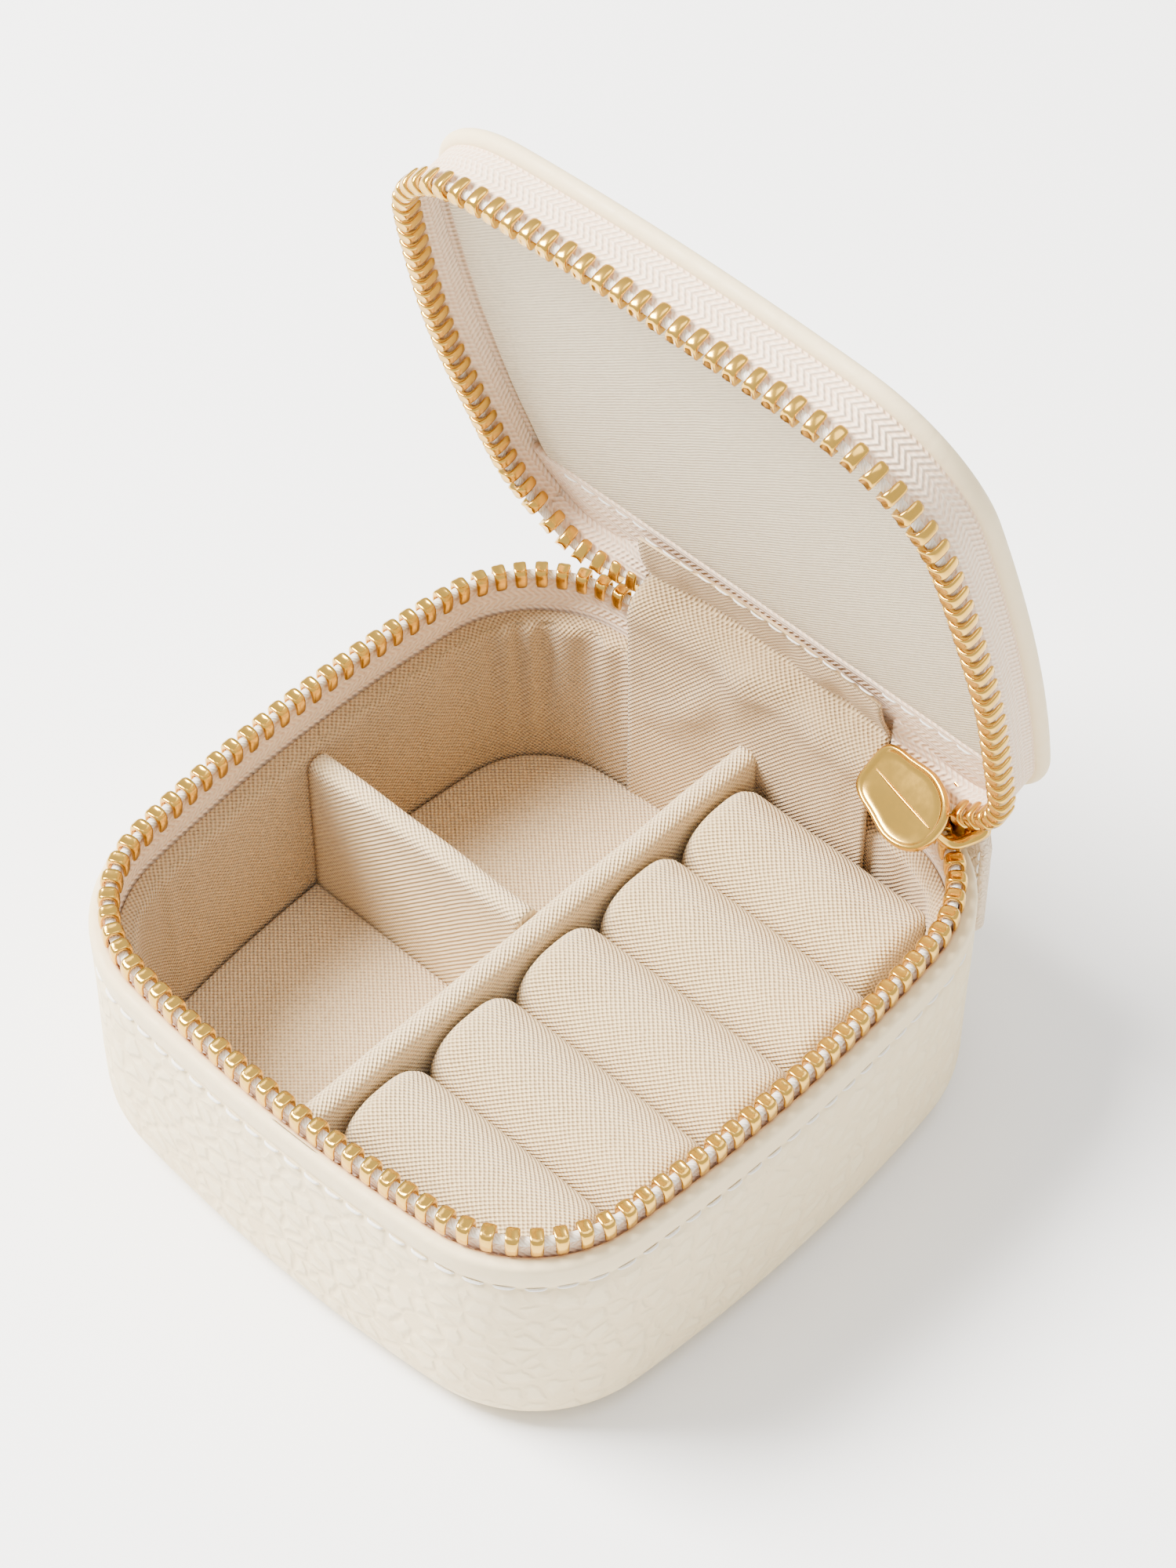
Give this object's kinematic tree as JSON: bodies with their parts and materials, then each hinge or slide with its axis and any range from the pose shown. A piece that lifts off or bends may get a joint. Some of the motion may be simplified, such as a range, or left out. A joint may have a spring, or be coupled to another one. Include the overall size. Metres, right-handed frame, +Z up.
{
  "type": "jewelry box",
  "caption": "Small zip-round travel jewellery case with two open trays, five ring rolls and a padded lid on a soft hinge, standing open",
  "frame": {"origin": "Middle of the underside of the tray, on the surface that the case stands on, with the lid open", "axes": "+Z up. +Y is the hinge side (back). +X is the side with the ring rolls. Metres in the record, millimetres in the source."},
  "size_m": [0.09, 0.0962, 0.125],
  "materials": {
    "shell_leather": "pebbled cream leather, satin",
    "lining_fabric": "oatmeal twill with a soft sheen",
    "lid_fabric": "grey beige twill",
    "zip_tape": "blush herringbone tape",
    "gold_metal": "polished light gold plate",
    "board": "grey board, hidden",
    "foam": "thin foam, hidden"
  },
  "bodies": {
    "tray": {"base_leather_shell": "shell_leather", "base_bottom_panel": "shell_leather", "base_floor_board": "board", "base_wall_board": "board", "base_wall_foam": "foam", "base_zip_tape": "zip_tape", "base_zip_chain": "gold_metal", "base_wall_lining": "lining_fabric", "main_divider": "lining_fabric", "cross_divider": "lining_fabric", "front_tray_pad": "lining_fabric", "rear_tray_pad": "lining_fabric", "ring_bed": "foam", "ring_roll_1": "lining_fabric", "ring_roll_2": "lining_fabric", "ring_roll_3": "lining_fabric", "ring_roll_4": "lining_fabric", "ring_roll_5": "lining_fabric", "hinge_leather_tray": "shell_leather", "hinge_lining_tray": "lining_fabric"},
    "lid": {"lid_leather_cover": "shell_leather", "lid_foam": "foam", "lid_board": "board", "lid_lining_panel": "lid_fabric", "hinge_lining_lid": "lining_fabric", "lid_zip_tape": "zip_tape", "lid_zip_chain": "gold_metal", "hinge_leather_lid": "shell_leather"},
    "slider": {"slider_body": "gold_metal"},
    "pull": {"pull_ring": "gold_metal", "pull_tab": "shell_leather"}
  },
  "joints": [
    {"name": "lid_hinge", "type": "hinge", "parent": "tray", "child": "lid", "pos_m": [0, 0.0406, 0.04075], "axis": [-1, 0, 0], "range_deg": [-74, 10]},
    {"name": "slider_travel", "type": "hinge", "parent": "tray", "child": "slider", "pos_m": [0.02354, 0.02468, 0.0389], "axis": [0, 0, 1], "range_deg": [-60, 0]},
    {"name": "pull_swing", "type": "hinge", "parent": "slider", "child": "pull", "pos_m": [0.03224, 0.04508, 0.0375], "axis": [0.9703, -0.2419, 0], "range_deg": [0, 60]}
  ]
}
